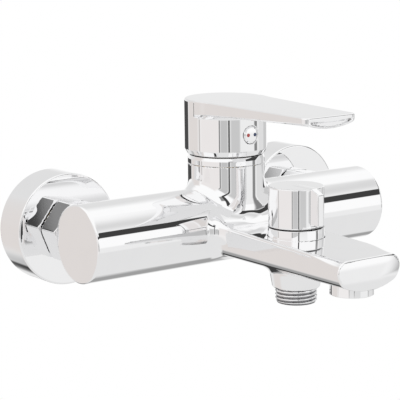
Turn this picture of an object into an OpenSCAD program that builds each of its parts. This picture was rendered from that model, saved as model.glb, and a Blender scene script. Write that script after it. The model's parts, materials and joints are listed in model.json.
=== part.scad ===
// Wall mounted single lever bath and shower mixer.
// Millimetres. +Z up, -Y towards the user, +X along the body.
// Origin: wall plane, midway between the two wall threads, which sit a little below the body's axis.
// Every node is drawn about the body's axis and raised by the drop of the offset connectors.

/* [Wall connection] */
// centre distance of the two wall inlets
inlet_spacing = 150; // [130:1:170]
// height offset from the union axis down to the wall thread
eccentric_drop = 6; // [4:0.5:8]
// outer radius of an escutcheon
escutcheon_r = 29; // [27:0.5:32]
// depth of an escutcheon
escutcheon_depth = 19.5; // [18:0.5:21]
// hexagon size of the union nut across flats
nut_flats = 30; // [29:0.5:32]

/* [Body] */
// radius of the horizontal tube
tube_r = 19.75; // [19:0.25:21]
// length of the horizontal tube
tube_length = 184; // [180:1:190]
// distance from the wall to the tube axis
tube_y = 55.5; // [54:0.5:58]
// radius of the upright neck
neck_r = 20; // [19.8:0.1:20.5]
// height of the neck's top above the tube axis
neck_top = 32; // [31:0.5:33]

/* [Spout] */
// distance from the wall to the spout's tip
spout_reach = 167.8; // [160:0.2:180]
// width of the spout
spout_width = 39; // [37:0.5:42]
// height of the spout's flat top at the tip
spout_tip_top = 0; // [-1:0.1:1]
// distance from the wall to the outlet's axis
aerator_y = 154.5; // [152:0.5:156]

/* [Lever] */
// outer radius of the lever's round cap
cap_r = 21.45; // [21:0.05:22]
// height of the cap's lower edge
cap_bottom = 36.9; // [36.5:0.1:38]
// height of the lever's top at the back
lever_top = 65.6; // [64:0.1:67]
// distance from the wall to the lever's tip
lever_reach = 139.5; // [130:0.5:150]
// half width of the lever at its tip
lever_tip_half = 16.2; // [14:0.1:18]

/* [Diverter] */
// distance from the wall to the diverter's axis
diverter_y = 112.7; // [111:0.1:114]
// radius of the diverter knob
knob_r = 13.8; // [13:0.1:14.5]
// height of the knob's top
knob_top = 27; // [24:0.5:30]
// how far the knob's pointer stands out in front
pointer_out = 5.4; // [3:0.1:7]

/* [Hidden] */
pipe_pitch = 1.814;
half_in_r = 10.4775;
three_quarter_r = 13.2205;
thread_depth = 1.16;
pivot_z = 27;
dome_r = 21.2;
seat_floor = 3;
nut_front = -20.4;
nut_back = -34.4;
tail_r = 11;
chamber_r = 16.4;
chamber_end = 88;
seat_r = 17.7;
collar_r = 14.1;
collar_top = 6.4;
collar_seat = 1.1;
aerator_r = 10.75;
seal_seat = -7.6;
knob_bottom = 6.9;
boss_bottom = -23.8;
hose_end = -31.6;
aerator_end = -19.7;
// height of the lever's screw and of the index button in front of it
screw_z = 48.1;
dot_x = 2.1;
// ports under the cartridge: hot and cold to the sides, mixed water to the front
port_x = 8.5;
port_back = 3;
port_front = 9;
inlet_port_r = 3.4;
mixed_port_r = 3.6;
shelf_r = 18.75;
shelf_z = 29.6;
knob_screw_z = 13;
spout_top_slope = 2.5 / 71;

// ---------- materials ----------

chromed = [0.85, 0.86, 0.88];
brass = [0.8, 0.68, 0.4];
steel = [0.7, 0.7, 0.73];
ceramic = [0.95, 0.95, 0.93];
rubber = [0.12, 0.12, 0.12];
white_plastic = [0.92, 0.92, 0.89];
dark_plastic = [0.2, 0.2, 0.22];
blue_plastic = [0.25, 0.45, 0.7];
red_paint = [0.8, 0.1, 0.08];
blue_paint = [0.05, 0.15, 0.45];

// colours a node and raises it so that the wall threads lie at height zero
module made_of(paint)
  color(paint)
    translate([0, 0, eccentric_drop])
      children();

// ---------- shared shapes ----------

// a profile of [radius, y] points turned about an axis along Y at the given x and z
module turned_y(points, x = 0, z = 0)
  translate([x, 0, z])
    rotate([-90, 0, 0])
      rotate_extrude($fn = 96)
        polygon(points);

// a profile of [radius, z] points turned about an upright axis at a distance from the wall
module turned_z(points, y = 0, x = 0)
  translate([x, -y, 0])
    rotate_extrude($fn = 96)
      polygon(points);

module rod_z(r, z0, z1, y = 0, x = 0)
  translate([x, -y, z0])
    cylinder(r = r, h = z1 - z0, $fn = 64);

module rod_y(r, y0, y1, x = 0, z = 0)
  translate([x, y0, z])
    rotate([-90, 0, 0])
      cylinder(r = r, h = y1 - y0, $fn = 64);

module rod_x(r, x0, x1, y = 0, z = 0)
  translate([x0, -y, z])
    rotate([0, 90, 0])
      cylinder(r = r, h = x1 - x0, $fn = 64);

// points of a quarter arc about [cr, ch], from angle a0 to a1, in n steps
function arc(cr, ch, r, a0, a1, n = 6) =
  [for (i = [0 : n]) let (a = a0 + (a1 - a0) * i / n) [cr + r * cos(a), ch + r * sin(a)]];

// a run of thread ridges of major radius r, starting at height h, n turns
function ridges(r, h, n, pitch = pipe_pitch, depth = thread_depth) =
  [for (i = [0 : n - 1])
    for (q = [[-depth, 0.06], [0, 0.34], [0, 0.66], [-depth, 0.94]])
      [r + q[0], h + (i + q[1]) * pitch]];

// ---------- body ----------

edge = 1.4;
half_tube = tube_length / 2;

module tube_outer()
  translate([0, -tube_y, 0])
    rotate([0, 90, 0])
      rotate_extrude($fn = 96)
        polygon(concat(
          [[0, -half_tube]],
          arc(tube_r - edge, -half_tube + edge, edge, -90, 0, 5),
          arc(tube_r - edge, half_tube - edge, edge, 0, 90, 5),
          [[0, half_tube]]));

// neck: a straight upright cylinder
module neck_outer()
  rod_z(neck_r, -2, neck_top, tube_y);

// the neck opens out to both sides where it meets the tube, and stays flush front and back
flare_r = 6.5;
flare_rise = 3.3;

module neck_flare()
  intersection() {
    turned_z(concat(
      [[0, flare_rise], [neck_r + flare_r, flare_rise], [neck_r + flare_r, tube_r]],
      arc(neck_r + flare_r, tube_r + flare_r, flare_r, 270, 180, 6),
      [[0, tube_r + flare_r]]), tube_y);
    rod_x(neck_r + 0.15, -neck_r - flare_r, neck_r + flare_r, tube_y, flare_rise);
  }

// plan of the spout, with a fillet each side where it leaves the tube
spout_half = spout_width / 2;
tip_corner = 7;
root_y = tube_y + 12;
root_fillet = 11;

module spout_plan()
  polygon(concat(
    [[-spout_half - root_fillet, -tube_y], [-spout_half - root_fillet, -root_y]],
    [for (i = [0 : 6]) let (a = 90 - 90 * i / 6)
      [-spout_half - root_fillet + root_fillet * cos(a), -root_y - root_fillet + root_fillet * sin(a)]],
    [for (i = [0 : 6]) let (a = 180 + 90 * i / 6)
      [-spout_half + tip_corner + tip_corner * cos(a), -spout_reach + tip_corner + tip_corner * sin(a)]],
    [for (i = [0 : 6]) let (a = 270 + 90 * i / 6)
      [spout_half - tip_corner + tip_corner * cos(a), -spout_reach + tip_corner + tip_corner * sin(a)]],
    [for (i = [0 : 6]) let (a = 180 - 90 * i / 6)
      [spout_half + root_fillet + root_fillet * cos(a), -root_y - root_fillet + root_fillet * sin(a)]],
    [[spout_half + root_fillet, -root_y], [spout_half + root_fillet, -tube_y]]));

// side view of the spout: sloping top, belly deepest near the tip
function spout_top(y) = spout_tip_top + (spout_reach - y) * spout_top_slope;

module spout_side()
  translate([-40, 0, 0])
    rotate([90, 0, 90])
      linear_extrude(height = 80)
        polygon([[-tube_y, 6], [-80, spout_top(80) + 1.2], [-92, spout_top(92)],
          [-spout_reach + 1.2, spout_tip_top], [-spout_reach, spout_tip_top - 1.2],
          [-spout_reach, -14.2], [-spout_reach + 1.8, -16], [-110, -14.6], [-80, -13.8],
          [-tube_y, -16]]);

// cross-section of the spout: small top edges, upright sides, bevelled belly
module spout_section()
  rotate([90, 0, 0])
    linear_extrude(height = spout_reach + 5)
      polygon([[-34, -10.6], [-34, 12], [34, 12], [34, -10.6], [spout_half, -10.6],
          [12, -16.2], [-12, -16.2], [-spout_half, -10.6]]);

module spout_outer()
  intersection() {
    translate([0, 0, -20])
      linear_extrude(height = 40)
        spout_plan();
    spout_side();
    spout_section();
  }

// flat-faced bosses on the back that the inlet tails screw into
module inlet_bosses()
  for (s = [-1, 1])
    rod_y(12.2, -tube_y, -tube_y + tube_r + 0.15, s * inlet_spacing / 2);

module boss_outer()
  turned_z([[0, -4], [13.6, -4], [13.6, -13], [12.7, -17.5], [11.1, boss_bottom], [0, boss_bottom]],
    diverter_y);

// water ways: hot and cold chambers, risers to the cartridge, mixed water out to the spout
module side_ways(s) {
  rod_x(chamber_r, min(s * 24, s * chamber_end), max(s * 24, s * chamber_end), tube_y);
  rod_x(4.2, min(s * port_x, s * 26), max(s * port_x, s * 26), tube_y - port_back, -7);
  rod_z(inlet_port_r, -7, seat_floor + 1, tube_y - port_back, s * port_x);
  rod_y(10.2, -tube_y, -33, s * inlet_spacing / 2);
}

module mixed_ways() {
  rod_z(mixed_port_r, -6, seat_floor + 1, tube_y + port_front);
  translate([-12, -diverter_y + 6, -10.6])
    cube([24, diverter_y - 6 - tube_y - 6, 8.4]);
  translate([-10, -aerator_y, -7.4])
    cube([20, aerator_y - diverter_y - 5, 4.8]);
}

module mixer_body()
  made_of(chromed)
    difference() {
      union() {
        tube_outer();
        neck_outer();
        neck_flare();
        inlet_bosses();
        spout_outer();
        boss_outer();
      }
      rod_z(seat_r, seat_floor, neck_top + 1, tube_y);
      rod_z(shelf_r, shelf_z, neck_top + 1, tube_y);
      side_ways(-1);
      side_ways(1);
      mixed_ways();
      rod_z(10.3, -12, 12, diverter_y);
      rod_z(8.4, boss_bottom - 1, -14, diverter_y);
      rod_z(5.4, -15, -11, diverter_y);
      rod_z(collar_r + 0.05, collar_seat, 9, diverter_y);
      rod_z(aerator_r + 0.05, -20, seal_seat, aerator_y);
      rod_z(7.6, -8, -2.6, aerator_y);
    }

// ---------- mixing cartridge ----------

// ring seen under the lever, domed on top so the cap can tilt over it
dome_h = sqrt(dome_r * dome_r - neck_r * neck_r);
ring_top = 36.4;
ring_top_r = sqrt(dome_r * dome_r - pow(ring_top - pivot_z, 2));

module cover_ring()
  made_of(chromed)
    turned_z(concat(
      [[17.4, neck_top + 0.15], [neck_r, neck_top + 0.15]],
      [for (i = [0 : 5]) let (z = pivot_z + dome_h + (ring_top - pivot_z - dome_h) * i / 5)
        [sqrt(dome_r * dome_r - pow(z - pivot_z, 2)), z]],
      [[17.4, ring_top]]), tube_y);

module retaining_nut()
  made_of(brass)
    difference() {
      turned_z([[14.9, 29.9], [18.7, 29.9], [18.7, 32.05], [17.3, 32.05], [17.3, 36.2], [14.9, 36.2]],
        tube_y);
      for (a = [0, 90, 180, 270])
        translate([0, -tube_y, 36.2])
          rotate([0, 0, a])
            translate([14, -1.6, -2])
              cube([5, 3.2, 3]);
    }

module cartridge_housing()
  made_of(white_plastic)
    turned_z([[17.5, 8.5], [17.5, 29.8], [14.6, 29.8], [14.6, 38], [10.6, 38], [10.6, 31.4],
      [13.9, 31.4], [13.9, 19], [15, 19], [15, 8.5]], tube_y);

module cartridge_base()
  made_of(dark_plastic)
    difference() {
      rod_z(17.4, seat_floor + 0.6, 8.4, tube_y);
      for (x = [-port_x, port_x]) {
        rod_z(inlet_port_r, 0, 10, tube_y - port_back, x);
        rod_z(5.2, 0, 5.4, tube_y - port_back, x);
      }
      rod_z(mixed_port_r, 0, 10, tube_y + port_front);
      rod_z(5.2, 0, 5.4, tube_y + port_front);
    }

module base_seal(x, y)
  turned_z([[3.6, seat_floor + 0.02], [5.1, seat_floor + 0.02], [5.1, 5.38], [3.6, 5.38]], y, x);

module base_seals()
  made_of(rubber) {
    base_seal(-port_x, tube_y - port_back);
    base_seal(port_x, tube_y - port_back);
    base_seal(0, tube_y + port_front);
  }

module fixed_disc()
  made_of(ceramic)
    difference() {
      rod_z(14.8, 8.45, 11.9, tube_y);
      for (x = [-port_x, port_x])
        rod_z(3.2, 8, 12, tube_y - port_back, x);
      rod_z(mixed_port_r, 8, 12, tube_y + port_front);
    }

module moving_disc()
  made_of(ceramic)
    difference() {
      rod_z(10.6, 12, 15, tube_y);
      rod_z(6.2, 11.5, 13.6, tube_y + 1);
    }

// socket in the carrier that the stem's lower ball drives
module disc_carrier()
  made_of(blue_plastic)
    difference() {
      rod_z(10, 15.05, 21, tube_y);
      rod_z(4.1, 16, 22, tube_y);
    }

// turning guide with an upright slot; the pin crosses it
module cartridge_guide()
  made_of(white_plastic)
    difference() {
      turned_z([[0, 21.3], [13.85, 21.3], [13.85, 31.1], [10.3, 31.1], [10.3, 36.5], [0, 36.5]], tube_y);
      translate([-4.75, -tube_y - 6.9, 21])
        cube([9.5, 13.8, 10]);
      translate([-4.75, -tube_y - 4.9, 30])
        cube([9.5, 14.1, 8]);
      rod_x(1.75, -14, 14, tube_y, pivot_z);
    }

module guide_pin()
  made_of(steel)
    rod_x(1.7, -13.2, 13.2, tube_y, pivot_z);

stem_w = 8;
stem_d = 7;

// drive stem: square shank above, round ball end below, hole for the pin
module stem()
  made_of(steel)
    difference() {
      union() {
        translate([-stem_w / 2, -tube_y - stem_d / 2, 23])
          cube([stem_w, stem_d, 33]);
        turned_z([[0, 16.6], [2.6, 16.6], [3.8, 18], [3.8, 19.2], [2.4, 20.4], [2.4, 23.5], [0, 23.5]],
          tube_y);
      }
      rod_x(1.76, -6, 6, tube_y, pivot_z);
    }

// ---------- lever ----------

cap_inner = 19.2;
cap_foot_r = 20.1;
cap_foot_top = 39.5;
ceiling = 57;
lever_slope = (lever_top - 64) / 105;
function lever_z(y) = lever_top - (y - tube_y + cap_r) * lever_slope;

// plan of the flat arm: leaves the round cap at its widest and tapers to a softly cornered tip
tip_round = 3;
tip_bow = 0.4;
tip_recess_w = 25;
tip_recess_deep = 1.1;

function tip_arc(side, a0, a1) =
  [for (i = [0 : 4]) let (a = a0 + (a1 - a0) * i / 4)
    [side * (lever_tip_half - tip_round) + tip_round * cos(a),
      -lever_reach + tip_round + tip_bow + tip_round * sin(a)]];

module arm_plan()
  polygon(concat(
    [[cap_r - 0.03, -tube_y], [-cap_r + 0.03, -tube_y], [-lever_tip_half, -lever_reach + 5]],
    tip_arc(-1, 180, 264),
    [[0, -lever_reach]],
    tip_arc(1, 276, 360),
    [[lever_tip_half, -lever_reach + 5]]));

// side view of the arm below its top face
arm_root_z = 58.2;
arm_tip_z = 60.7;
above_lever = 72;

module arm_side()
  translate([-30, 0, 0])
    rotate([90, 0, 90])
      linear_extrude(height = 60)
        polygon([[-tube_y + 5, above_lever], [-lever_reach - 1, above_lever],
          [-lever_reach - 1, arm_tip_z], [-tube_y - 8, arm_root_z], [-tube_y + 5, arm_root_z]]);

// everything above the lever's gently falling top face
module over_lever()
  translate([-30, 0, 0])
    rotate([90, 0, 90])
      linear_extrude(height = 60)
        polygon([[-tube_y + 30, above_lever + 5], [-lever_reach - 5, above_lever + 5],
          [-lever_reach - 5, lever_z(lever_reach + 5)], [-tube_y + 30, lever_z(tube_y - 30)]]);

module lever_outer()
  difference() {
    union() {
      turned_z([[0, cap_bottom], [cap_foot_r, cap_bottom], [cap_r, cap_foot_top], [cap_r, above_lever],
        [0, above_lever]], tube_y);
      intersection() {
        translate([0, 0, 50])
          linear_extrude(height = above_lever - 50)
            arm_plan();
        arm_side();
      }
    }
    over_lever();
  }

module lever()
  made_of(chromed)
    difference() {
      union() {
        difference() {
          lever_outer();
          turned_z([[0, 30], [cap_inner, 30], [cap_inner, 52], [14, ceiling], [0, ceiling]], tube_y);
        }
        translate([-7.5, -tube_y - 7.5, 43.2])
          cube([15, 15, 14.2]);
      }
      translate([-stem_w / 2 - 0.05, -tube_y - stem_d / 2 - 0.05, 40])
        cube([stem_w + 0.1, stem_d + 0.1, 16.1]);
      rod_y(2.55, -tube_y - 20, -tube_y - 3, 0, screw_z);
      rod_y(4.6, -tube_y - 24, -tube_y - 12, 0, screw_z);
      translate([-tip_recess_w / 2, -lever_reach - 1, 61.1])
        cube([tip_recess_w, 1 + tip_recess_deep, 1.6]);
    }

module lever_screw()
  made_of(steel)
    difference() {
      rod_y(2.5, -tube_y - 11, -tube_y - stem_d / 2 - 0.02, 0, screw_z);
      translate([0, -tube_y - 8.4, screw_z])
        rotate([90, 0, 0])
          cylinder(r = 1.44, h = 4, $fn = 6);
    }

module index_button()
  made_of(chromed)
    difference() {
      turned_y([[0, -tube_y - 22], [2.4, -tube_y - 21.9], [4.2, -tube_y - 21.4], [4.5, -tube_y - 21],
        [4.5, -tube_y - 18.2], [0, -tube_y - 18.2]], 0, screw_z);
      for (x = [-dot_x, dot_x])
        rod_y(0.95, -tube_y - 23, -tube_y - 20.8, x, screw_z);
    }

module hot_dot()
  made_of(red_paint)
    rod_y(0.93, -tube_y - 21.85, -tube_y - 20.82, -dot_x, screw_z);

module cold_dot()
  made_of(blue_paint)
    rod_y(0.93, -tube_y - 21.85, -tube_y - 20.82, dot_x, screw_z);

// ---------- diverter ----------

module diverter_collar()
  made_of(chromed)
    turned_z([[5.2, -1], [10.2, -1], [10.2, collar_seat + 0.05], [collar_r, collar_seat + 0.05],
      [collar_r, collar_top - 0.4],
      [collar_r - 0.4, collar_top], [8.3, collar_top], [8.3, 4.6], [5.2, 4.6]], diverter_y);

module diverter_shell()
  made_of(brass)
    difference() {
      turned_z([[9.95, -11.8], [9.95, -1.1], [5.2, -1.1], [5.2, -3.4], [8.6, -3.4], [8.6, -11.8]],
        diverter_y);
      rod_y(4.4, -diverter_y - 12, -diverter_y, 0, -6.4);
      rod_y(4.4, -diverter_y, -diverter_y + 12, 0, -6.4);
    }

module diverter_seals()
  made_of(rubber)
    turned_z([[2.9, 3], [4.9, 3], [4.9, 4.5], [2.9, 4.5]], diverter_y);

module diverter_fixed_disc()
  made_of(ceramic)
    difference() {
      rod_z(8.5, -11.7, -9.6, diverter_y);
      rod_z(2.6, -12, -9, diverter_y + 4.6);
    }

module diverter_moving_disc()
  made_of(ceramic)
    difference() {
      rod_z(8.2, -9.5, -7.4, diverter_y);
      rod_z(2.6, -10, -7, diverter_y + 4.6);
    }

module diverter_spindle()
  made_of(brass)
    turned_z([[0, -7.35], [6, -7.35], [6, -4.2], [2.85, -4.2], [2.85, 8.4], [3.6, 8.4], [3.6, 17.5],
      [0, 17.5]], diverter_y);

// knob: short cylinder with a thin pointer standing out at the front
module diverter_knob()
  made_of(chromed)
    difference() {
      union() {
        turned_z([[0, knob_bottom], [knob_r, knob_bottom], [knob_r, knob_top - 0.5],
          [knob_r - 0.5, knob_top], [0, knob_top]], diverter_y);
        translate([-1.9, 0, 0])
          rotate([90, 0, 90])
            linear_extrude(height = 3.8)
              polygon([[-diverter_y, knob_top - 0.1], [-diverter_y - knob_r + 0.2, knob_top - 0.1],
                [-diverter_y - knob_r - pointer_out, knob_top - 2.5],
                [-diverter_y - knob_r - pointer_out, knob_bottom + 2], [-diverter_y, knob_bottom + 2]]);
      }
      rod_z(11.4, knob_bottom - 1, 8.2, diverter_y);
      rod_z(3.65, 8, 17.6, diverter_y);
      rod_y(2.05, -diverter_y + 3, -diverter_y + 16, 0, knob_screw_z);
    }

// headless screw from the back of the knob onto its spindle
module knob_screw()
  made_of(steel)
    difference() {
      rod_y(2, -diverter_y + 3.62, -diverter_y + 11, 0, knob_screw_z);
      translate([0, -diverter_y + 12, knob_screw_z])
        rotate([90, 0, 0])
          cylinder(r = 1.15, h = 4, $fn = 6);
    }

// ---------- shower outlet ----------

module hose_nipple()
  made_of(chromed)
    turned_z(concat(
      [[6.2, hose_end], [half_in_r - thread_depth - 0.3, hose_end]],
      ridges(half_in_r, hose_end + 0.3, 4),
      [[half_in_r - 0.9, boss_bottom - 0.15], [10.9, boss_bottom - 0.1],
        [8.3, boss_bottom - 0.1], [8.3, -16.2], [7.2, -16.2], [7.2, -26], [6.2, -26]]), diverter_y);

module nipple_seal()
  made_of(rubber)
    turned_z([[5.6, -16.1], [8.2, -16.1], [8.2, -14.1], [5.6, -14.1]], diverter_y);

module check_valve()
  made_of(white_plastic)
    union() {
      turned_z([[5.9, -25.9], [7.1, -25.9], [7.1, -16.4], [3.9, -16.4], [3.9, -17.4], [5.9, -17.4]],
        diverter_y);
      difference() {
        for (a = [0, 90])
          translate([0, -diverter_y, -25])
            rotate([0, 0, a])
              cube([12.6, 1.6, 1.4], center = true);
        rod_z(1.27, -27, -23, diverter_y);
      }
    }

module check_poppet()
  made_of(blue_plastic)
    turned_z([[0, -25.2], [1.2, -25.2], [1.2, -19], [5.3, -19], [5.3, -17.6], [0, -17.6]], diverter_y);

// ---------- spout outlet ----------

module aerator_shell()
  made_of(chromed)
    turned_z(concat(
      [[9, aerator_end], [10.3, aerator_end], [10.7, aerator_end + 0.4], [10.7, -16.3], [9.9, -16.2]],
      ridges(aerator_r, -15.8, 7, 1, 0.6),
      [[9.9, -8.75], [9, -8.75]]), aerator_y);

module aerator_insert()
  made_of(white_plastic)
    difference() {
      rod_z(8.9, aerator_end + 1, -8.9, aerator_y);
      for (x = [-5, 0, 5])
        for (y = [-5, 0, 5])
          rod_z(1.3, aerator_end, -14, aerator_y + y, x);
      rod_z(7.4, -15, -7, aerator_y);
    }

module aerator_seal()
  made_of(rubber)
    turned_z([[7.7, -8.7], [10.6, -8.7], [10.6, seal_seat - 0.02], [7.7, seal_seat - 0.02]], aerator_y);

// ---------- wall side ----------

module inlet_tail(s)
  made_of(brass)
    turned_y([[7.5, -45.5], [10.1, -45.5], [10.1, -35.5], [tail_r, -35.5], [tail_r, -32.1],
      [12.9, -32.1], [12.9, -30.5], [7.5, -30.5]], s * inlet_spacing / 2);

module inlet_tail_left() inlet_tail(-1);
module inlet_tail_right() inlet_tail(1);

module union_nut(s)
  made_of(chromed)
    difference() {
      intersection() {
        translate([s * inlet_spacing / 2, nut_back, 0])
          rotate([-90, 0, 0])
            rotate([0, 0, 8])
              cylinder(r = nut_flats / 2 / cos(30), h = nut_front - nut_back, $fn = 6);
        turned_y([[0, nut_back], [nut_flats / 2 - 0.2, nut_back], [nut_flats / 2 + 2.4, nut_back + 1.5],
          [nut_flats / 2 + 2.4, nut_front - 1.5], [nut_flats / 2 - 0.2, nut_front], [0, nut_front]],
          s * inlet_spacing / 2);
      }
      rod_y(tail_r + 0.1, nut_back - 1, nut_front + 1, s * inlet_spacing / 2);
      rod_y(three_quarter_r + 0.08, nut_back + 2.2, nut_front + 1, s * inlet_spacing / 2);
    }

module union_nut_left() union_nut(-1);
module union_nut_right() union_nut(1);

// rubber washer with a strainer disc inside
module filter_seal(s)
  made_of(rubber)
    difference() {
      rod_y(12.4, -30.45, -28.45, s * inlet_spacing / 2);
      for (x = [-5, 0, 5])
        for (z = [-5, 0, 5])
          rod_y(1.7, -31, -28, s * inlet_spacing / 2 + x, z);
    }

module filter_seal_left() filter_seal(-1);
module filter_seal_right() filter_seal(1);

wall_thread_turns = 8;

// offset connector: pipe thread for the wall, larger thread for the union nut
module eccentric(s)
  made_of(brass)
    difference() {
      union() {
        turned_y(concat(
          [[0, -28.4], [three_quarter_r - thread_depth - 0.3, -28.4]],
          ridges(three_quarter_r, -28.1, 9),
          [[three_quarter_r - 0.9, -11.4], [three_quarter_r - 0.9, -8], [0, -8]]), s * inlet_spacing / 2);
        rod_y(17, -8.2, -1.2, s * inlet_spacing / 2, -eccentric_drop / 2);
        turned_y(concat(
          [[0, -1.4], [half_in_r, -1.4], [half_in_r, 0.4], [half_in_r - thread_depth, 1]],
          ridges(half_in_r, 1.2, wall_thread_turns),
          [[half_in_r - thread_depth - 0.3, wall_thread_turns * pipe_pitch + 1.5],
            [0, wall_thread_turns * pipe_pitch + 1.5]]), s * inlet_spacing / 2, -eccentric_drop);
      }
      rod_y(9.2, -30, -4.6, s * inlet_spacing / 2);
      rod_y(7.2, -5, 20, s * inlet_spacing / 2, -eccentric_drop);
    }

module eccentric_left() eccentric(-1);
module eccentric_right() eccentric(1);

// plastic plug with small channels that quietens the flow, pressed into the wall end
module silencer(s)
  made_of(white_plastic)
    difference() {
      rod_y(7.15, -4.4, 14, s * inlet_spacing / 2, -eccentric_drop);
      for (a = [0 : 45 : 315])
        rod_y(1.3, -5, 15, s * inlet_spacing / 2 + 4.9 * cos(a), -eccentric_drop + 4.9 * sin(a));
    }

module silencer_left() silencer(-1);
module silencer_right() silencer(1);

module escutcheon(s)
  made_of(chromed)
    turned_y(concat(
      [[escutcheon_r - 1, -0.1], [escutcheon_r, -0.1]],
      arc(escutcheon_r - 1.4, -escutcheon_depth + 1.4, 1.4, 0, -90, 5),
      [[three_quarter_r + 0.1, -escutcheon_depth], [three_quarter_r + 0.1, -escutcheon_depth + 1],
        [escutcheon_r - 1.6, -escutcheon_depth + 1], [escutcheon_r - 1, -escutcheon_depth + 1.6]]),
      s * inlet_spacing / 2);

module escutcheon_left() escutcheon(-1);
module escutcheon_right() escutcheon(1);

mixer_body();
cover_ring();
retaining_nut();
cartridge_housing();
cartridge_base();
base_seals();
fixed_disc();
moving_disc();
disc_carrier();
cartridge_guide();
guide_pin();
stem();
lever();
lever_screw();
index_button();
hot_dot();
cold_dot();
diverter_collar();
diverter_shell();
diverter_seals();
diverter_fixed_disc();
diverter_moving_disc();
diverter_spindle();
diverter_knob();
knob_screw();
hose_nipple();
check_valve();
check_poppet();
nipple_seal();
aerator_shell();
aerator_insert();
aerator_seal();
inlet_tail_left();
inlet_tail_right();
union_nut_left();
union_nut_right();
filter_seal_left();
filter_seal_right();
eccentric_left();
eccentric_right();
silencer_left();
silencer_right();
escutcheon_left();
escutcheon_right();
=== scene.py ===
"""Wall mounted bath mixer: plated surfaces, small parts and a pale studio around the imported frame."""

import json
import math

import bmesh
import bpy
import numpy as np
from mathutils import Matrix, Vector


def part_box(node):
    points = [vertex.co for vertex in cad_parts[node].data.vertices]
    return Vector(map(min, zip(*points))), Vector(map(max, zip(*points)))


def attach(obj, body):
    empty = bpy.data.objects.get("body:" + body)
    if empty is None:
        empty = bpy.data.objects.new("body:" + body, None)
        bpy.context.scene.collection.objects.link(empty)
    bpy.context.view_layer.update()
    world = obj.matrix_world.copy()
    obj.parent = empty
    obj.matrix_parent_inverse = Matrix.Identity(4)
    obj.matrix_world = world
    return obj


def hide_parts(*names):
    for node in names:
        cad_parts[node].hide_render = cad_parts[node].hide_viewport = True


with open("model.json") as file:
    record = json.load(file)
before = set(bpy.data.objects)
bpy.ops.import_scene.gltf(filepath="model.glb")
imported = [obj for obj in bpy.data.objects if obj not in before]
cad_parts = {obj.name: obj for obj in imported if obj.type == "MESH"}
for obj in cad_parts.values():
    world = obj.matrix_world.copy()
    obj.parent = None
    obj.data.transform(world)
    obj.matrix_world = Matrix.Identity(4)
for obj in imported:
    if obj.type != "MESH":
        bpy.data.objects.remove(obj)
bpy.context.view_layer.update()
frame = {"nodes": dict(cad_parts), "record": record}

MM = 0.001


# ---------- sizes read from the frame, in millimetres ----------

def corners(node):
    """Lowest and highest corner of a node, in millimetres."""
    low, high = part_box(node)
    return Vector(low) / MM, Vector(high) / MM


def middle(node):
    low, high = corners(node)
    return (low + high) / 2


def half_size(node):
    low, high = corners(node)
    return (high - low) / 2


BODY_Z = middle("inlet_tail_left").z
BAR_Y = middle("cover_ring").y
BAR_HALF = half_size("mixer_body").x
NECK_R = half_size("cover_ring").x
NECK_TOP = corners("mixer_body")[1].z - BODY_Z
SPOUT_TIP = corners("mixer_body")[0].y
DIVERTER_Y = middle("diverter_collar").y
COLLAR_R = half_size("diverter_collar").x
AERATOR_Y = middle("aerator_shell").y
AERATOR_R = half_size("aerator_shell").x
CAP_R = half_size("lever").x
LEVER_TIP = corners("lever")[0].y
INLET_X = middle("escutcheon_right").x


# ---------- shapes as distances, in millimetres ----------

def far(*parts):
    return np.sqrt(sum(p * p for p in parts))


def joined(a, b, r):
    """Both solids, with a hollow fillet of radius r between them."""
    r = np.maximum(r, 1e-6)
    return np.maximum(r, np.minimum(a, b)) - far(np.maximum(r - a, 0), np.maximum(r - b, 0))


def shared(a, b, r):
    """What two solids share, with the edge between them rounded to radius r."""
    return np.minimum(-r, np.maximum(a, b)) + far(np.maximum(r + a, 0), np.maximum(r + b, 0))


def cut(a, b, r=0.3):
    """The first solid with the second taken away."""
    return shared(a, -b, r)


def rod(spread, along, radius, low, high, edge):
    """A straight round bar with rounded end edges."""
    side = spread - radius + edge
    end = np.abs(along - (low + high) / 2) - (high - low) / 2 + edge
    return far(np.maximum(side, 0), np.maximum(end, 0)) + np.minimum(np.maximum(side, end), 0) - edge


def step_up(v, low, high):
    """0 below low, 1 above high, smooth in between."""
    t = np.clip((v - low) / (high - low), 0, 1)
    return t * t * (3 - 2 * t)


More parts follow.
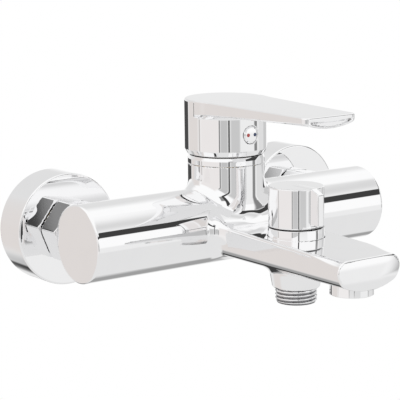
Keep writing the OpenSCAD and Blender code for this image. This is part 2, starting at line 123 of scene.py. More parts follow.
def skin(field, low, high, pitch, passes=5):
    """Points, quads and normals of the surface where field is zero inside a box."""
    axes = [np.arange(a, b + pitch, pitch) for a, b in zip(low, high)]
    grid = np.meshgrid(*axes, indexing="ij", sparse=True)
    d = field(*grid)
    d = np.broadcast_to(d, tuple(len(a) for a in axes))
    inside = d < 0
    cells = tuple(n - 1 for n in d.shape)
    total = int(np.prod(cells))
    count = np.zeros(total)
    place = np.zeros((total, 3))
    crossings = []
    for k in range(3):
        first = [slice(None)] * 3
        second = [slice(None)] * 3
        first[k] = slice(0, -1)
        second[k] = slice(1, None)
        da, db = d[tuple(first)], d[tuple(second)]
        where = np.nonzero(inside[tuple(first)] != inside[tuple(second)])
        share = da[where] / (da[where] - db[where])
        point = np.stack([axes[j][where[j]] for j in range(3)], axis=1)
        point[:, k] += share * pitch
        outward = inside[tuple(first)][where]
        others = [j for j in range(3) if j != k]
        around = []
        for back in ((0, 0), (1, 0), (1, 1), (0, 1)):
            cell = [where[j].copy() for j in range(3)]
            cell[others[0]] = cell[others[0]] - back[0]
            cell[others[1]] = cell[others[1]] - back[1]
            around.append(np.ravel_multi_index(cell, cells, mode="clip"))
        for cell in around:
            count += np.bincount(cell, minlength=total)
            for j in range(3):
                place[:, j] += np.bincount(cell, weights=point[:, j], minlength=total)
        quad = np.stack(around, axis=1)
        turned_over = outward if k == 1 else ~outward
        quad[turned_over] = quad[turned_over][:, ::-1]
        crossings.append(quad)
    used = np.nonzero(count)[0]
    number = np.full(total, -1)
    number[used] = np.arange(len(used))
    points = place[used] / count[used][:, None]
    quads = number[np.concatenate(crossings)]

    def slope(p):
        h = 0.02
        g = np.empty_like(p)
        for j in range(3):
            ahead, behind = p.copy(), p.copy()
            ahead[:, j] += h
            behind[:, j] -= h
            g[:, j] = (field(*ahead.T) - field(*behind.T)) / (2 * h)
        return g

    for _ in range(passes):
        g = slope(points)
        move = field(*points.T) / np.maximum((g * g).sum(axis=1), 0.05)
        points -= g * np.clip(move, -0.5 * pitch, 0.5 * pitch)[:, None]
    normals = slope(points)
    normals /= np.maximum(np.linalg.norm(normals, axis=1), 1e-9)[:, None]
    return points, quads, normals


# ---------- meshes ----------

def piece(name, mesh, body, slot, replaced):
    """Puts a mesh in the scene as a piece of the mixer that moves with a body."""
    o = bpy.data.objects.new(name, mesh)
    bpy.context.scene.collection.objects.link(o)
    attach(o, body)
    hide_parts(*replaced)
    o.data.materials.append(FINISH[slot])
    return o


def skinned(name, field, low, high, pitch, body, slot, replaced):
    points, quads, normals = skin(field, low, high, pitch)
    points = points + np.array([0, 0, BODY_Z])
    mesh = bpy.data.meshes.new(name)
    mesh.from_pydata((points * MM).tolist(), [], quads.tolist())
    mesh.validate()
    mesh.shade_smooth()
    mesh.normals_split_custom_set_from_vertices(normals.tolist())
    return piece(name, mesh, body, slot, replaced)


NEARLY_STRAIGHT = math.radians(172)


def rounded(outline, radius, steps=4):
    """A closed outline with each corner turned into a short arc."""
    made = []
    n = len(outline)
    for i in range(n):
        corner = Vector(outline[i])
        to_last = Vector(outline[i - 1]) - corner
        to_next = Vector(outline[(i + 1) % n]) - corner
        if corner.x < 1e-6:
            made.append(corner)
            continue
        turn = to_last.angle(to_next, math.pi)
        if turn > NEARLY_STRAIGHT:
            made.append(corner)
            continue
        reach = min(radius / max(math.tan(turn / 2), 1e-3), 0.45 * to_last.length, 0.45 * to_next.length)
        start = corner + to_last.normalized() * reach
        end = corner + to_next.normalized() * reach
        for k in range(steps + 1):
            t = k / steps
            made.append((1 - t) ** 2 * start + 2 * t * (1 - t) * corner + t * t * end)
    return made


def turned(name, outline, at, axis, body, slot, replaced, radius, sides=128, thread=None):
    """A closed outline of (radius, distance along the axis) spun about an axis through a point.

    Its corners get arcs of the given radius, and thread moves the points into a running thread.
    """
    profile = rounded(outline, radius) if radius else [Vector(p) for p in outline]
    along = {"y": Matrix.Rotation(math.radians(-90), 3, "X"), "z": Matrix.Identity(3)}[axis]
    bm = bmesh.new()
    rings = []
    for s in range(sides):
        a = 2 * math.pi * s / sides
        ring = []
        for p in profile:
            r = p.x if thread is None else thread(p.x, p.y, a)
            ring.append(bm.verts.new(along @ Vector((r * math.cos(a), r * math.sin(a), p.y))))
        rings.append(ring)
    for s in range(sides):
        a, b = rings[s], rings[(s + 1) % sides]
        for i in range(len(profile)):
            j = (i + 1) % len(profile)
            if profile[i].x < 1e-6 and profile[j].x < 1e-6:
                continue
            bm.faces.new((a[i], b[i], b[j], a[j]))
    bmesh.ops.remove_doubles(bm, verts=bm.verts, dist=1e-5)
    bmesh.ops.recalc_face_normals(bm, faces=bm.faces)
    bmesh.ops.translate(bm, verts=bm.verts, vec=Vector(at))
    bmesh.ops.scale(bm, verts=bm.verts, vec=(MM, MM, MM))
    mesh = bpy.data.meshes.new(name)
    bm.to_mesh(mesh)
    bm.free()
    mesh.shade_smooth()
    o = piece(name, mesh, body, slot, replaced)
    even = o.modifiers.new("face weighted normals", "WEIGHTED_NORMAL")
    even.weight = 90
    return o


# ---------- finishes ----------

def new_group(name, inputs, outputs):
    group = bpy.data.node_groups.new(name, "ShaderNodeTree")
    for label, kind, value in inputs:
        s = group.interface.new_socket(label, in_out="INPUT", socket_type=kind)
        s.default_value = value
    for label, kind in outputs:
        group.interface.new_socket(label, in_out="OUTPUT", socket_type=kind)
    return group, group.nodes.new("NodeGroupInput"), group.nodes.new("NodeGroupOutput")


def math_node(tree, operation, a, b=None, c=None, clamp=False):
    """A math node fed by sockets or plain numbers; returns its output."""
    n = tree.nodes.new("ShaderNodeMath")
    n.operation = operation
    n.use_clamp = clamp
    for socket, value in zip(n.inputs, (a, b, c)):
        if value is None:
            continue
        if isinstance(value, (int, float)):
            socket.default_value = value
        else:
            tree.links.new(value, socket)
    return n.outputs[0]


def handling_marks():
    """Faint smears from hands and cloths, and fine wiping lines, as masks and a height."""
    group, gin, gout = new_group(
        "Handling marks",
        [("Smear size", "NodeSocketFloat", 30.0), ("Line size", "NodeSocketFloat", 900.0)],
        [("Smears", "NodeSocketFloat"), ("Height", "NodeSocketFloat")])
    t = group
    spot = t.nodes.new("ShaderNodeTexCoord")
    smear = t.nodes.new("ShaderNodeTexNoise")
    smear.inputs["Detail"].default_value = 5
    smear.inputs["Distortion"].default_value = 1.2
    t.links.new(spot.outputs["Object"], smear.inputs["Vector"])
    t.links.new(gin.outputs["Smear size"], smear.inputs["Scale"])
    lines = t.nodes.new("ShaderNodeTexNoise")
    lines.inputs["Detail"].default_value = 2
    stretch = t.nodes.new("ShaderNodeMapping")
    stretch.inputs["Scale"].default_value = (1.0, 0.08, 0.6)
    t.links.new(spot.outputs["Object"], stretch.inputs["Vector"])
    t.links.new(stretch.outputs[0], lines.inputs["Vector"])
    t.links.new(gin.outputs["Line size"], lines.inputs["Scale"])
    smears = math_node(t, "POWER", smear.outputs["Fac"], 2.2)
    height = math_node(t, "MULTIPLY_ADD", smear.outputs["Fac"], 0.4, lines.outputs["Fac"])
    t.links.new(smears, gout.inputs["Smears"])
    t.links.new(height, gout.inputs["Height"])
    return group


def grain():
    """Fine even unevenness of moulded, turned or lapped surfaces."""
    group, gin, gout = new_group(
        "Fine grain",
        [("Size", "NodeSocketFloat", 800.0), ("Light", "NodeSocketColor", (1, 1, 1, 1)),
         ("Dark", "NodeSocketColor", (0, 0, 0, 1))],
        [("Color", "NodeSocketColor"), ("Mask", "NodeSocketFloat")])
    t = group
    spot = t.nodes.new("ShaderNodeTexCoord")
    noise = t.nodes.new("ShaderNodeTexNoise")
    noise.inputs["Detail"].default_value = 6
    t.links.new(spot.outputs["Object"], noise.inputs["Vector"])
    t.links.new(gin.outputs["Size"], noise.inputs["Scale"])
    mix = t.nodes.new("ShaderNodeMix")
    mix.data_type = "RGBA"
    t.links.new(noise.outputs["Fac"], mix.inputs["Factor"])
    t.links.new(gin.outputs["Dark"], mix.inputs[6])
    t.links.new(gin.outputs["Light"], mix.inputs[7])
    t.links.new(mix.outputs[2], gout.inputs["Color"])
    t.links.new(noise.outputs["Fac"], gout.inputs["Mask"])
    return group


MARKS = handling_marks()
GRAIN = grain()


def shader(name):
    m = bpy.data.materials.new(name)
    m.use_nodes = True
    return m, m.node_tree, m.node_tree.nodes["Principled BSDF"]


def between(tree, value, low, high):
    """Maps 0..1 to low..high."""
    return math_node(tree, "MULTIPLY_ADD", value, high - low, low)


def plated(name, tint, smooth, smeared, relief):
    """Bright plating: mirror metal with faint smears and wiping lines."""
    m, t, b = shader(name)
    marks = t.nodes.new("ShaderNodeGroup")
    marks.node_tree = MARKS
    marks.inputs["Smear size"].default_value = 38.0
    marks.inputs["Line size"].default_value = 1400.0
    tone = t.nodes.new("ShaderNodeMix")
    tone.data_type = "RGBA"
    tone.inputs[6].default_value = (*tint, 1)
    tone.inputs[7].default_value = (*[c * 0.965 for c in tint], 1)
    t.links.new(marks.outputs["Smears"], tone.inputs["Factor"])
    t.links.new(tone.outputs[2], b.inputs["Base Color"])
    t.links.new(between(t, marks.outputs["Smears"], smooth, smeared), b.inputs["Roughness"])
    bump = t.nodes.new("ShaderNodeBump")
    bump.inputs["Strength"].default_value = relief
    bump.inputs["Distance"].default_value = 0.00002
    t.links.new(marks.outputs["Height"], bump.inputs["Height"])
    t.links.new(bump.outputs[0], b.inputs["Normal"])
    b.inputs["Metallic"].default_value = 1.0
    return m


def grained(name, light, dark, size, rough, relief, metal=0.0, coat=0.0):
    """Turned brass, steel, moulded plastic, rubber, ceramic or enamel, by its own values."""
    m, t, b = shader(name)
    g = t.nodes.new("ShaderNodeGroup")
    g.node_tree = GRAIN
    g.inputs["Size"].default_value = size
    g.inputs["Light"].default_value = (*light, 1)
    g.inputs["Dark"].default_value = (*dark, 1)
    t.links.new(g.outputs["Color"], b.inputs["Base Color"])
    t.links.new(between(t, g.outputs["Mask"], rough[0], rough[1]), b.inputs["Roughness"])
    bump = t.nodes.new("ShaderNodeBump")
    bump.inputs["Strength"].default_value = relief
    bump.inputs["Distance"].default_value = 0.00005
    t.links.new(g.outputs["Mask"], bump.inputs["Height"])
    t.links.new(bump.outputs[0], b.inputs["Normal"])
    b.inputs["Metallic"].default_value = metal
    b.inputs["Coat Weight"].default_value = coat
    b.inputs["Coat Roughness"].default_value = 0.08
    return m


FINISH = {
    "chrome": plated("bright plating", (0.955, 0.955, 0.96), 0.012, 0.05, 0.05),
    "brass": grained("turned brass", (0.86, 0.70, 0.38), (0.74, 0.57, 0.28), 620, (0.22, 0.34), 0.05, 1.0),
    "steel": grained("machined steel", (0.72, 0.72, 0.73), (0.62, 0.62, 0.64), 700, (0.2, 0.34), 0.05, 1.0),
    "ceramic": grained("lapped ceramic", (0.93, 0.92, 0.88), (0.88, 0.87, 0.83), 500, (0.1, 0.2), 0.05),
    "rubber": grained("sealing rubber", (0.035, 0.035, 0.036), (0.018, 0.018, 0.019), 900, (0.5, 0.7), 0.3),
    "white_plastic": grained(
        "white moulding", (0.86, 0.86, 0.83), (0.80, 0.80, 0.77), 650, (0.35, 0.5), 0.2),
    "dark_plastic": grained(
        "dark moulding", (0.07, 0.07, 0.075), (0.04, 0.04, 0.045), 650, (0.35, 0.5), 0.2),
    "blue_plastic": grained("blue moulding", (0.08, 0.20, 0.50), (0.05, 0.14, 0.38), 650, (0.35, 0.5), 0.2),
    # Darker grey metal used as painted shade: it goes on the thread roots and on the collar's top face,
    # where shade falls in the grooves and in the gap under the knob.
    "groove_shade_metal": grained(
        "metal with painted groove shade", (0.42, 0.42, 0.43), (0.26, 0.26, 0.27), 900, (0.28, 0.42), 0.25, 1.0),
    "red_paint": grained(
        "red enamel", (0.62, 0.05, 0.04), (0.48, 0.03, 0.03), 900, (0.2, 0.3), 0.1, 0.0, 0.6),
    "blue_paint": grained(
        "blue enamel", (0.02, 0.05, 0.16), (0.01, 0.03, 0.1), 900, (0.2, 0.3), 0.1, 0.0, 0.6),
}

for entry in frame["record"]["subparts"]:
    node = frame["nodes"][entry["node"]]
    node.data.materials.clear()
    node.data.materials.append(FINISH[entry["material_slot"]])


# ---------- body ----------

# Heights here and below are counted from the bar's axis.
BAR_R = 19.75
NECK_FOOT = -12
NECK_FILLET = 5.5

SPOUT_HALF = 19.4
TIP_TOP = 0.0
TOP_SLOPE = 2.5 / 71
SPOUT_FLOOR = -16.0
SIDE_FLOOR = -10.6
FLOOR_HALF = 11.2
TIP_LENGTH = 22
TIP_EDGE = 6.0
SIDE_EDGE = 1.6
ROOT_FILLET_TOP = 9.0
ROOT_FILLET_UNDER = 3.0

BOSS_R = 13.6
BOSS_TAPER = 0.17
BOSS_TAPER_TOP = -14
BOSS_TOP = -5
BOSS_END = -23.8

INLET_SEAT_R = 12.2
INLET_BORE_R = 10.2
CARTRIDGE_WELL_R = 17.7
CARTRIDGE_FLOOR = 3
CARTRIDGE_SHELF_R = 18.75
CARTRIDGE_SHELF = 29.6
DIVERTER_WELL_R = 10.3
DIVERTER_FLOOR = -12
OUTLET_BORE_R = 8.4
OUTLET_BORE_TOP = -14
COLLAR_GAP = 0.12
COLLAR_SEAT = 1.1
AERATOR_GAP = 0.15
AERATOR_SEAT = -7.6


def spout_field(x, y, z):
    """Flat topped spout with upright sides, a rounded belly and a soft tip."""
    top = (z - TIP_TOP - (y - SPOUT_TIP) * TOP_SLOPE) / math.hypot(1, TOP_SLOPE)
    side = np.abs(x) - SPOUT_HALF
    slant = Vector((SIDE_FLOOR - SPOUT_FLOOR, -(SPOUT_HALF - FLOOR_HALF))).normalized()
    bevel = slant.x * (np.abs(x) - SPOUT_HALF) + slant.y * (z - SIDE_FLOOR)
    floor = SPOUT_FLOOR - z
    near_tip = 1 - step_up(y, SPOUT_TIP + 2, SPOUT_TIP + TIP_LENGTH)
    section = shared(side, top, SIDE_EDGE + (TIP_EDGE - SIDE_EDGE) * near_tip)
    section = shared(section, shared(bevel, floor, 5.0), 4.5)
    pillow = SPOUT_TIP - y + 0.55 * (x / SPOUT_HALF) ** 2 + 0.6 * ((z + 8) / 8) ** 2
    return np.maximum(shared(section, pillow * 0.97, 0.7), y - BAR_Y)


def body_field(x, y, z):
    """Bar, neck, spout and boss in one casting, with its wells and bores."""
    yb = y - BAR_Y
    bar_spread = far(yb, z)
    neck_spread = far(x, yb)
    bar = rod(bar_spread, x, BAR_R, -BAR_HALF, BAR_HALF, 1.1)
    neck = rod(neck_spread, z, NECK_R, NECK_FOOT, NECK_TOP, 0.2)
    alike = np.clip(yb * yb / (np.maximum(bar_spread, 1) * np.maximum(neck_spread, 1)), 0, 1)
    solid = joined(bar, neck, np.minimum(NECK_FILLET, 14.0 * (1 - alike) ** 0.6))
    root = ROOT_FILLET_UNDER + (ROOT_FILLET_TOP - ROOT_FILLET_UNDER) * step_up(z, -13, -4)
    solid = joined(solid, spout_field(x, y, z), root)
    boss_spread = far(x, y - DIVERTER_Y)
    cone = (boss_spread - BOSS_R + BOSS_TAPER * np.maximum(BOSS_TAPER_TOP - z, 0)) * 0.98
    boss = shared(shared(cone, BOSS_END - z, 0.5), z - BOSS_TOP, 0.5)
    solid = joined(solid, boss, 3.5)
    rear = far(np.abs(x) - INLET_X, z)
    seat = rod(rear, yb, INLET_SEAT_R, 0, BAR_R + 0.15, 0.4)
    solid = joined(solid, seat, 0.6)
    solid = cut(solid, np.maximum(neck_spread - CARTRIDGE_WELL_R, CARTRIDGE_FLOOR - z))
    solid = cut(solid, np.maximum(neck_spread - CARTRIDGE_SHELF_R, CARTRIDGE_SHELF - z))
    solid = cut(solid, np.maximum(rear - INLET_BORE_R, -yb))
    solid = cut(solid, np.maximum(boss_spread - OUTLET_BORE_R, z - OUTLET_BORE_TOP))
    solid = cut(solid, np.maximum(boss_spread - DIVERTER_WELL_R, DIVERTER_FLOOR - z))
    solid = cut(solid, np.maximum(boss_spread - COLLAR_R - COLLAR_GAP, COLLAR_SEAT - z))
    outlet = far(x, y - AERATOR_Y)
    return cut(solid, np.maximum(outlet - AERATOR_R - AERATOR_GAP, z - AERATOR_SEAT), 0.2)


skinned("body_casting", body_field, (-93, SPOUT_TIP - 1, BOSS_END - 1), (93, BAR_Y + 21.5, NECK_TOP + 1),
        0.8, "fixed", "chrome", ["mixer_body"])


# ---------- lever ----------

CAP_FOOT = 36.9
CAP_CHAMFER_TOP = 39.5
CAP_INSIDE = 19.2
CAP_CEILING = 52
TOP_BACK = 65.6
TOP_FALL = 1.6 / 105

ARM_START = 9.5
ARM_LENGTH = BAR_Y - LEVER_TIP
ARM_TAPER = 0.0842
ARM_FLARE = 0.000259
ARM_UNDERSIDE = 58.3
ARM_RISE = 2.4
ARM_CROWN = 2.7

RECESS_HALF = 12.6
RECESS_Z = 61.6
RECESS_SAG = 1.6
RECESS_DEPTH = 1.1

SOCKET_BLOCK_HALF = 7.5
STEM_HALF = (4.05, 3.55)
SCREW_Z = 48.1
SCREW_R = 2.55
BUTTON_WELL_R = 4.6


def lever_field(x, y, z):
    """Round cap and flat arm in one piece, hollow over the cartridge, with a socket for the stem."""
    yb = y - BAR_Y
    ahead = np.maximum(-yb, 0)
    top = (z - TOP_BACK + (CAP_R - yb) * TOP_FALL) / math.hypot(1, TOP_FALL)
    off_axis = far(x, yb)
    foot = (off_axis - CAP_R) * 0.88 + np.maximum(CAP_CHAMFER_TOP - z, 0) * 0.47
    cap = shared(foot, CAP_FOOT - z, 0.4)
    half = CAP_R - ARM_TAPER * ahead + ARM_FLARE * ahead * ahead
    side = np.abs(x) - half
    outline = np.where(yb > 0, off_axis - CAP_R, side)
    outline = shared(outline, LEVER_TIP - y, 3.2)
    share = np.clip((ahead - ARM_START) / (ARM_LENGTH - ARM_START), 0, 1)
    crown = ARM_CROWN * share * np.clip(1 - (x / np.maximum(half, 1)) ** 2, 0, 1)
    below = ARM_UNDERSIDE + ARM_RISE * share - crown - z
    arm = shared(outline, below, 0.9)
    arm = np.maximum(arm, -(BAR_Y - 3 - y))
    solid = joined(cap, arm, 2.2)
    solid = shared(solid, top, 0.7)
    recess = far(x / RECESS_HALF, (z - RECESS_Z + RECESS_SAG * (1 - (x / 13) ** 2)) / 1.15) - 1
    solid = cut(solid, np.maximum(recess * 1.1, y - LEVER_TIP - RECESS_DEPTH), 0.25)
    solid = cut(solid, np.maximum(off_axis - CAP_INSIDE, z - CAP_CEILING))
    block = np.maximum(np.abs(x) - SOCKET_BLOCK_HALF, np.abs(yb) - SOCKET_BLOCK_HALF)
    solid = np.minimum(solid, np.maximum(block, np.abs(z - 49) - 5.8))
    shank = np.maximum(np.abs(x) - STEM_HALF[0], np.abs(yb) - STEM_HALF[1])
    shank = np.maximum(shank, np.abs(z - 46) - 10.1)
    solid = cut(solid, shank, 0.1)
    port = far(x, z - SCREW_Z)
    solid = cut(solid, np.maximum(port - BUTTON_WELL_R, yb + 12), 0.25)
    return cut(solid, np.maximum(port - SCREW_R, yb + 3), 0.1)


skinned("lever_handle", lever_field, (-23, LEVER_TIP - 1, CAP_FOOT - 1), (23, BAR_Y + 23, 67), 0.6,
        "handle", "chrome", ["lever"])


# ---------- knob ----------

KNOB_LOW, KNOB_HIGH = corners("diverter_knob")
KNOB_R = KNOB_HIGH.x
KNOB_FOOT = KNOB_LOW.z - BODY_Z
KNOB_TOP = KNOB_HIGH.z - BODY_Z
KNOB_HOLLOW_R = 11.4
KNOB_CEILING = 8.2
SPINDLE_R = 3.65
SPINDLE_TOP = 17.6
KNOB_SCREW_R = 2.05
KNOB_SCREW_Z = 13
POINTER_TIP = KNOB_LOW.y
POINTER_HALF = 1.9
POINTER_FALL = 2.4


def knob_field(x, y, z):
    """Round drum with a thin pointer, hollow below for the collar and the spindle."""
    off_axis = far(x, y - DIVERTER_Y)
    drum = rod(off_axis, z, KNOB_R, KNOB_FOOT, KNOB_TOP, 0.6)
    reach = DIVERTER_Y - KNOB_R - POINTER_TIP
    slope = POINTER_FALL / reach
    over = (z - KNOB_TOP + slope * np.maximum(DIVERTER_Y - KNOB_R - y, 0)) * 0.92
    fin = shared(np.abs(x) - POINTER_HALF, over, 0.5)
    fin = shared(fin, POINTER_TIP - y, 0.6)
    fin = shared(fin, KNOB_FOOT + 2 - z, 0.5)
    fin = np.maximum(fin, y - DIVERTER_Y)
    solid = joined(drum, fin, 0.5)
    solid = cut(solid, np.maximum(off_axis - KNOB_HOLLOW_R, z - KNOB_CEILING), 0.2)
    solid = cut(solid, np.maximum(off_axis - SPINDLE_R, z - SPINDLE_TOP), 0.1)
    screw = far(x, z - KNOB_SCREW_Z) - KNOB_SCREW_R
    return cut(solid, np.maximum(screw, DIVERTER_Y + 3 - y), 0.1)


skinned("knob_shell", knob_field, (-15, POINTER_TIP - 1, KNOB_FOOT - 1),
        (15, DIVERTER_Y + 15, KNOB_TOP + 1), 0.42, "knob", "chrome", ["diverter_knob"])


# ---------- turned parts ----------

PIPE_R = 10.4775
PIPE_PITCH = 1.814
RIDGE = 1.16


def helix(low, high, crest):
    """A cutter that gives points near the crest radius a running thread between two heights."""
    def shaped(r, h, a):
        if r < crest - 0.01 or h < low - 0.001 or h > high + 0.001:
            return r
        phase = (h / PIPE_PITCH - a / (2 * math.pi)) % 1
        wave = min(max((abs(phase - 0.5) - 0.14) / 0.2, 0), 1)
        fade = min((h - low) / 0.5, (high - h) / 0.5, 1)
        return r - RIDGE * (1 - (1 - wave) * max(fade, 0))
    return shaped


def threaded_side(low, high, crest, rows_per_mm=7):
    """Outline points up a threaded stretch."""
    rows = max(int((high - low) * rows_per_mm), 2)
    return [(crest, low + (high - low) * i / rows) for i in range(rows + 1)]


def z_at(y):
    return Vector((0, y, BODY_Z))


RING_INSIDE = 17.4
turned("band_ring",
       [(RING_INSIDE, NECK_TOP), (NECK_R - 0.02, NECK_TOP), (NECK_R - 0.02, NECK_TOP + 2.5),
        (NECK_R - 0.4, NECK_TOP + 3.5), (NECK_R - 0.8, NECK_TOP + 4.25), (RING_INSIDE, NECK_TOP + 4.4)],
       z_at(BAR_Y), "z", "fixed", "chrome", ["cover_ring"], 0.2)

collar = turned(
    "knob_collar",
    [(5.2, -1), (10.2, -1), (10.2, 1.15), (COLLAR_R, 1.15), (COLLAR_R, 6.4), (8.3, 6.4), (8.3, 4.6),
     (5.2, 4.6)],
    z_at(DIVERTER_Y), "z", "fixed", "chrome", ["diverter_collar"], 0.35)
# The collar's top face gets the darker metal: painted shade for the gap under the knob.
collar.data.materials.append(FINISH["groove_shade_metal"])
for face in collar.data.polygons:
    if face.normal.z > 0.95:
        face.material_index = 1

HOSE_END = corners("hose_nipple")[0].z - BODY_Z
THREAD_LOW = HOSE_END + 0.5
THREAD_HIGH = -24.25
hose = turned(
    "hose_thread",
    [(6.2, HOSE_END), (9.6, HOSE_END)] + threaded_side(THREAD_LOW, THREAD_HIGH, PIPE_R)
    + [(10.9, -23.9), (8.3, -23.9), (8.3, -16.2), (7.2, -16.2), (7.2, -26), (6.2, -26)],
    z_at(DIVERTER_Y), "z", "fixed", "chrome", ["hose_nipple"], 0, sides=160,
    thread=helix(THREAD_LOW, THREAD_HIGH, PIPE_R))
# Faces in the thread roots get the darker metal: painted shade in the thread grooves.
hose.data.materials.append(FINISH["groove_shade_metal"])
for face in hose.data.polygons:
    r = math.hypot(face.center.x, face.center.y - DIVERTER_Y * MM) / MM
    if 8.6 < r < PIPE_R - 0.62:
        face.material_index = 1

AERATOR_END = corners("aerator_shell")[0].z - BODY_Z
turned("jet_sleeve",
       [(9, AERATOR_END), (AERATOR_R - 0.05, AERATOR_END), (AERATOR_R - 0.05, -9), (9, -9)],
       z_at(AERATOR_Y), "z", "fixed", "chrome", ["aerator_shell"], 0.3)


COVER_HOLE_R = 13.32
NUT_HALF_FLATS = 15.0
NUT_TURN = 8
NUT_HOLE_R = 11.1
NUT_BORE_R = 13.3
NUT_LIP = 2.2


def escutcheon(side, label):
    """A deep round wall cover with a hole for the connector."""
    low, high = corners("escutcheon_" + label)
    r = (high.x - low.x) / 2
    turned("wall_cover_" + label,
           [(r - 1, high.y), (r, high.y), (r, low.y), (COVER_HOLE_R, low.y), (COVER_HOLE_R, low.y + 1),
            (r - 1.6, low.y + 1), (r - 1, low.y + 1.6)],
           Vector((side * INLET_X, 0, BODY_Z)), "y", "fixed", "chrome", ["escutcheon_" + label], 1.0,
           sides=160)


def union_nut(side, label):
    """A hexagon nut with chamfered corners, stopped a few degrees off a flat."""
    low, high = corners("union_nut_" + label)

    def field(x, y, z):
        u, v = x - side * INLET_X, z
        hexagon = None
        for k in range(3):
            a = math.radians(NUT_TURN) + math.radians(30 + 60 * k)
            wall = np.abs(u * math.cos(a) - v * math.sin(a)) - NUT_HALF_FLATS
            hexagon = wall if hexagon is None else shared(hexagon, wall, 0.6)
        across = far(u, v)
        ends = np.abs(y - (low.y + high.y) / 2) - (high.y - low.y) / 2
        corner = (across - NUT_HALF_FLATS - 0.9 + ends * 1.5) * 0.55
        solid = shared(hexagon, ends, 0.25)
        solid = shared(solid, corner, 0.25)
        solid = cut(solid, across - NUT_HOLE_R, 0.2)
        return cut(solid, np.maximum(across - NUT_BORE_R, low.y + NUT_LIP - y), 0.2)

    skinned("coupling_nut_" + label, field, (side * INLET_X - 18, low.y - 1, -18),
            (side * INLET_X + 18, high.y + 1, 18), 0.5, "fixed", "chrome", ["union_nut_" + label])


for side, label in ((-1, "left"), (1, "right")):
    escutcheon(side, label)
    union_nut(side, label)

BUTTON_LOW, BUTTON_HIGH = corners("index_button")
BUTTON_Z = middle("index_button").z - BODY_Z
turned("index_plug",
       [(0, BUTTON_LOW.y + 0.15), (2.4, BUTTON_LOW.y + 0.2), (3.7, BUTTON_LOW.y + 0.3),
        (4.5, BUTTON_LOW.y + 0.9), (4.5, BUTTON_HIGH.y), (0, BUTTON_HIGH.y)],
       Vector((0, 0, BODY_Z + BUTTON_Z)), "y", "handle", "chrome", ["index_button"], 0.3, sides=96)


# ---------- studio ----------

# What the plating mirrors, later rows over earlier ones: azimuth from and to, elevation from and to,
# brightness and edge softness, in degrees. Azimuth 0 is in front of the mixer and 90 to its right.
WALLS = [
    (-180, 180, -90, -16, 0.80, 2.5),
    (112, 196, -54, -31, 0.36, 5.0),
    (158, 178, -46, -29, 0.05, 3.0),
    (-164, -119, -62, 38, (0.76, 0.72, 0.70), 7.0),
    (-118, -113, -14, 2, (0.50, 0.48, 0.47), 1.2),
    (-113, -55, -16, 24, (0.86, 0.83, 0.82), 6.0),
    (-56.5, -53.5, -14, 0, 0.10, 0.9),
    (-53, -31, -14, 6, 0.56, 4.0),
    (-30.5, -26, -14, 22, 0.02, 0.6),
    (-25, 4, -15, 6, 0.60, 5.0),
    (4, 46, -18, -6, 0.88, 2.0),
    (48, 60, -14, 17, 0.24, 3.0),
    (64, 90, -18, 17, 0.76, 3.0),
    (90, 114, -18, 17, 0.60, 3.0),
    (20, 80, 33, 52, 0.72, 9.0),
    (-29, -14, 23, 34, 0.27, 1.6),
    (-29, -14, 18.5, 25.5, 0.055, 0.7),
    (-28, 32, 18.5, 25, 0.055, 0.7),
    (28, 100, 18.0, 31, 0.05, 0.7),
    (130, 205, 5, 46, 0.77, 11.0),
    (151, 194, -17, -5, 0.07, 1.5),
]


def studio_world():
    """A white backdrop for the camera, and the walls around it for everything else."""
    world = bpy.data.worlds.new("studio")
    bpy.context.scene.world = world
    world.use_nodes = True
    t = world.node_tree
    t.nodes.clear()
    spot = t.nodes.new("ShaderNodeTexCoord")
    split = t.nodes.new("ShaderNodeSeparateXYZ")
    t.links.new(spot.outputs["Generated"], split.inputs[0])
    back = math_node(t, "MULTIPLY", split.outputs["Y"], -1)
    azimuth = math_node(t, "DEGREES", math_node(t, "ARCTAN2", split.outputs["X"], back))
    elevation = math_node(t, "DEGREES", math_node(t, "ARCSINE", split.outputs["Z"]))
    colour = None
    for az0, az1, el0, el1, light, soft in WALLS:
        tint = light if isinstance(light, tuple) else (light,) * 3
        az_half, el_half = (az1 - az0) / 2, (el1 - el0) / 2
        apart = math_node(t, "WRAP", math_node(t, "SUBTRACT", azimuth, (az0 + az1) / 2), 180, -180)
        across = math_node(t, "SUBTRACT", az_half, math_node(t, "ABSOLUTE", apart))
        up = math_node(t, "ABSOLUTE", math_node(t, "SUBTRACT", elevation, (el0 + el1) / 2))
        tall = math_node(t, "SUBTRACT", el_half, up)
        mask = t.nodes.new("ShaderNodeMapRange")
        mask.interpolation_type = "SMOOTHSTEP"
        mask.inputs["From Min"].default_value = -soft
        mask.inputs["From Max"].default_value = soft
        t.links.new(math_node(t, "MINIMUM", across, tall), mask.inputs["Value"])
        mix = t.nodes.new("ShaderNodeMix")
        mix.data_type = "RGBA"
        t.links.new(mask.outputs[0], mix.inputs["Factor"])
        if colour is None:
            mix.inputs[6].default_value = (1.02, 1.02, 1.02, 1)
        else:
            t.links.new(colour, mix.inputs[6])
        mix.inputs[7].default_value = (*tint, 1)
        colour = mix.outputs[2]
    seen = t.nodes.new("ShaderNodeBackground")
    seen.inputs["Color"].default_value = (1, 1, 1, 1)
    room = t.nodes.new("ShaderNodeBackground")
    t.links.new(colour, room.inputs["Color"])
    path = t.nodes.new("ShaderNodeLightPath")
    choose = t.nodes.new("ShaderNodeMixShader")
    t.links.new(path.outputs["Is Camera Ray"], choose.inputs[0])
    t.links.new(room.outputs[0], choose.inputs[1])
    t.links.new(seen.outputs[0], choose.inputs[2])
    out = t.nodes.new("ShaderNodeOutputWorld")
    t.links.new(choose.outputs[0], out.inputs["Surface"])


FLOOR_Z = -0.32
FLOOR_R = 1.0


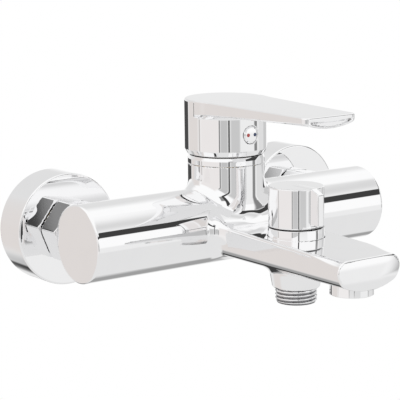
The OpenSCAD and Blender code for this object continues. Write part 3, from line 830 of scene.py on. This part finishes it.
def pale_floor():
    """A large pale disc well below the mixer, unseen from underneath and by the plating."""
    bm = bmesh.new()
    bmesh.ops.create_circle(bm, cap_ends=True, radius=FLOOR_R, segments=96)
    mesh = bpy.data.meshes.new("floor")
    bm.to_mesh(mesh)
    bm.free()
    floor = bpy.data.objects.new("floor", mesh)
    floor.location = (0, -0.1, FLOOR_Z)
    bpy.context.scene.collection.objects.link(floor)
    m, t, b = shader("pale floor")
    g = t.nodes.new("ShaderNodeGroup")
    g.node_tree = GRAIN
    g.inputs["Size"].default_value = 14
    g.inputs["Light"].default_value = (0.86, 0.86, 0.86, 1)
    g.inputs["Dark"].default_value = (0.83, 0.83, 0.83, 1)
    t.links.new(g.outputs["Color"], b.inputs["Base Color"])
    b.inputs["Roughness"].default_value = 0.9
    glow = t.nodes.new("ShaderNodeEmission")
    clear = t.nodes.new("ShaderNodeBsdfTransparent")
    path = t.nodes.new("ShaderNodeLightPath")
    choose = t.nodes.new("ShaderNodeMixShader")
    t.links.new(path.outputs["Is Camera Ray"], choose.inputs[0])
    t.links.new(b.outputs[0], choose.inputs[1])
    t.links.new(glow.outputs[0], choose.inputs[2])
    face = t.nodes.new("ShaderNodeNewGeometry")
    unseen = t.nodes.new("ShaderNodeMixShader")
    see_through = math_node(t, "MAXIMUM", path.outputs["Is Glossy Ray"], face.outputs["Backfacing"])
    t.links.new(see_through, unseen.inputs[0])
    t.links.new(choose.outputs[0], unseen.inputs[1])
    t.links.new(clear.outputs[0], unseen.inputs[2])
    out = t.nodes["Material Output"]
    t.links.new(unseen.outputs[0], out.inputs["Surface"])
    floor.data.materials.append(m)


CAMERA_PLACE = (-492.05, -713.99, 163.65)
CAMERA_TURN = 35.80
CAMERA_DIP = 10.48
CAMERA_ROLL = -0.71
CAMERA_LENS = 144


def camera():
    """Looks at the mixer from its front left, a little from above. Angles are in degrees."""
    data = bpy.data.cameras.new("camera")
    data.sensor_width = 36
    data.lens = CAMERA_LENS
    cam = bpy.data.objects.new("camera", data)
    bpy.context.scene.collection.objects.link(cam)
    turn, dip, roll = (math.radians(v) for v in (CAMERA_TURN, CAMERA_DIP, CAMERA_ROLL))
    look = Vector((math.sin(turn) * math.cos(dip), math.cos(turn) * math.cos(dip), -math.sin(dip)))
    level = Vector((math.cos(turn), -math.sin(turn), 0))
    upright = level.cross(look)
    right = math.cos(roll) * level + math.sin(roll) * upright
    up = math.cos(roll) * upright - math.sin(roll) * level
    m = Matrix((right, up, -look)).transposed().to_4x4()
    x, y, z = CAMERA_PLACE
    m.translation = Vector((x, y, z + BODY_Z)) * MM
    cam.matrix_world = m
    data.clip_end = 20
    bpy.context.scene.camera = cam


studio_world()
pale_floor()
camera()
bpy.context.scene.view_settings.view_transform = "Standard"
